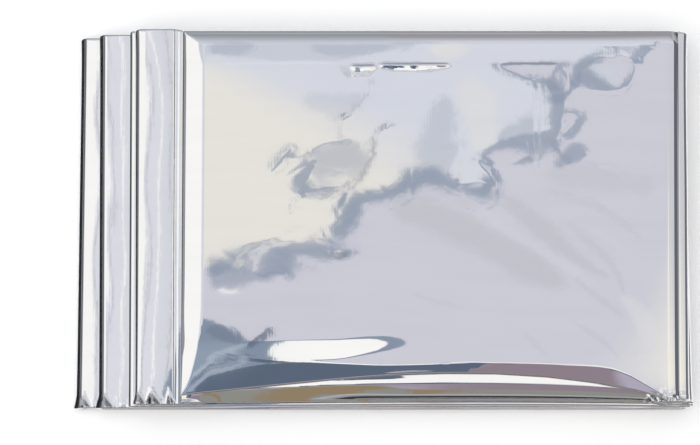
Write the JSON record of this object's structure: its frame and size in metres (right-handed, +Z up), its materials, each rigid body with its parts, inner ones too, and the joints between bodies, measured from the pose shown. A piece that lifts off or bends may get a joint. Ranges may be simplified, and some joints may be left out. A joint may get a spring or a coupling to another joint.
{
  "type": "folded emergency foil blanket",
  "caption": "Silver emergency blanket of thin metallised film, folded back and forth into a flat rectangular pad with stepped folds.",
  "frame": {"origin": "centre of the pad's footprint, on the surface that it rests on", "axes": "+X along the long side towards the free ends, -X towards the stepped folds, +Y towards the back edge, +Z up"},
  "size_m": [0.13, 0.0814, 0.0152],
  "materials": {
    "silver_foil": "bright, mirror-like metallised film with soft creases"
  },
  "bodies": {
    "root": {"foil_blanket": "silver_foil"}
  },
  "joints": []
}
